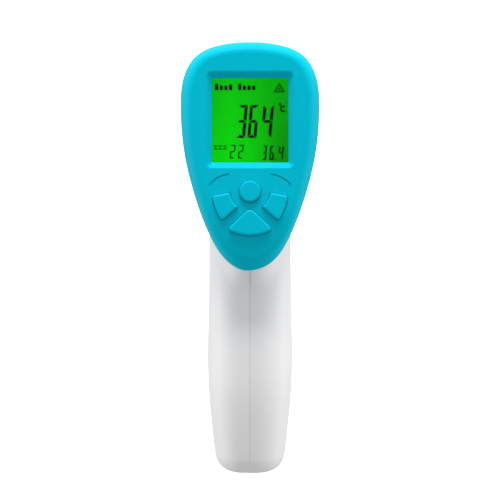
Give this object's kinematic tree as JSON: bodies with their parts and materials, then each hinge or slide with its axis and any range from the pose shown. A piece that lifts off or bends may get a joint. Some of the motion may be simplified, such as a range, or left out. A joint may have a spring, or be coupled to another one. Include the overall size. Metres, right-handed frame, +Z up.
{
  "type": "digital thermometer",
  "caption": "Pistol-grip infrared forehead thermometer with a back-lit display, a fan of keys, a finger trigger and a battery door.",
  "frame": {"origin": "centre of the flat foot under the grip, on the parting plane of the two housing halves", "axes": "+X to the user's right, +Y the way the sensor looks, +Z up"},
  "size_m": [0.0476, 0.0745, 0.1482],
  "materials": {
    "white_plastic": "satin white moulded ABS",
    "turquoise_plastic": "semi-gloss turquoise moulded ABS",
    "clear_window": "clear hard-coated acrylic",
    "liquid_crystal": "green back-lit liquid crystal with dark segments",
    "light_guide": "translucent acrylic",
    "white_nylon": "natural nylon",
    "soft_black": "black foam and elastomer",
    "stem_plastic": "black acetal",
    "switch_metal": "tinned cover",
    "circuit_board": "green solder mask",
    "black_epoxy": "moulded epoxy",
    "ceramic": "ceramic capacitors",
    "bright_steel": "bright steel",
    "reflector_coat": "vacuum-plated cup",
    "gold_plate": "gold-plated header and legs",
    "infrared_window": "coated silicon",
    "battery_wrap": "printed battery wrap",
    "red_insulation": "red wire insulation",
    "black_insulation": "black wire insulation",
    "white_insulation": "pale wire insulation"
  },
  "bodies": {
    "case": {"left_housing": "white_plastic", "right_housing": "white_plastic", "faceplate": "turquoise_plastic", "nose_ring": "turquoise_plastic", "display_window": "clear_window", "lcd_cell": "liquid_crystal", "lcd_light_guide": "light_guide", "lcd_holder": "white_nylon", "sensor_socket": "white_nylon", "battery_tray": "white_nylon", "display_gasket": "soft_black", "elastomer_strip": "soft_black", "round_key_switch": "switch_metal", "left_key_switch": "switch_metal", "right_key_switch": "switch_metal", "bottom_key_switch": "switch_metal", "trigger_switch": "switch_metal", "main_board": "circuit_board", "trigger_board": "circuit_board", "sensor_board": "circuit_board", "processor": "black_epoxy", "buzzer": "black_epoxy", "sensor_holder": "black_epoxy", "capacitors": "ceramic", "crystal": "bright_steel", "thermopile_can": "bright_steel", "trigger_pin": "bright_steel", "trigger_spring": "bright_steel", "case_screws": "bright_steel", "board_screws": "bright_steel", "positive_contact": "bright_steel", "negative_contact": "bright_steel", "battery_bridge": "bright_steel", "battery_springs": "bright_steel", "reflector_cup": "reflector_coat", "thermopile_header": "gold_plate", "thermopile_legs": "gold_plate", "thermopile_window": "infrared_window", "thermopile_chip": "infrared_window", "battery_left": "battery_wrap", "battery_right": "battery_wrap", "battery_lead_red": "red_insulation", "battery_lead_black": "black_insulation", "sensor_wires": "white_insulation", "trigger_wires": "white_insulation"},
    "round_key": {"round_key": "turquoise_plastic", "round_key_stem": "stem_plastic"},
    "left_key": {"left_key": "turquoise_plastic", "left_key_stem": "stem_plastic"},
    "right_key": {"right_key": "turquoise_plastic", "right_key_stem": "stem_plastic"},
    "bottom_key": {"bottom_key": "turquoise_plastic", "bottom_key_stem": "stem_plastic"},
    "trigger": {"trigger": "turquoise_plastic"},
    "trigger_stem": {"trigger_switch_stem": "stem_plastic"},
    "battery_door": {"battery_door": "white_plastic"}
  },
  "joints": [
    {"name": "press_round_key", "type": "slide", "parent": "case", "child": "round_key", "axis": [0, 0.9781, -0.2079], "range_m": [0, 0.0004], "stiffness_N_per_m": 2000, "springref_m": -0.0001},
    {"name": "press_left_key", "type": "slide", "parent": "case", "child": "left_key", "axis": [0, 0.9781, -0.2079], "range_m": [0, 0.0004], "stiffness_N_per_m": 2000, "springref_m": -0.0001},
    {"name": "press_right_key", "type": "slide", "parent": "case", "child": "right_key", "axis": [0, 0.9781, -0.2079], "range_m": [0, 0.0004], "stiffness_N_per_m": 2000, "springref_m": -0.0001},
    {"name": "press_bottom_key", "type": "slide", "parent": "case", "child": "bottom_key", "axis": [0, 0.9781, -0.2079], "range_m": [0, 0.0004], "stiffness_N_per_m": 2000, "springref_m": -0.0001},
    {"name": "pull_trigger", "type": "hinge", "parent": "case", "child": "trigger", "pos_m": [0, 0.021, 0.0907], "axis": [-1, 0, 0], "range_deg": [0, 6], "stiffness_Nm_per_rad": 0.4, "springref_deg": -2.86, "deforming": ["trigger_spring"]},
    {"name": "slide_trigger_stem", "type": "slide", "parent": "case", "child": "trigger_stem", "axis": [0, -1, 0], "range_m": [0, 0.00105]},
    {"name": "open_battery_door", "type": "hinge", "parent": "case", "child": "battery_door", "pos_m": [0, 0.0136, 0.0072], "axis": [-1, 0, 0], "range_deg": [0, 75]}
  ],
  "couplings": [
    {"joint": "slide_trigger_stem", "follows": "pull_trigger", "m_per_rad": 0.01}
  ]
}
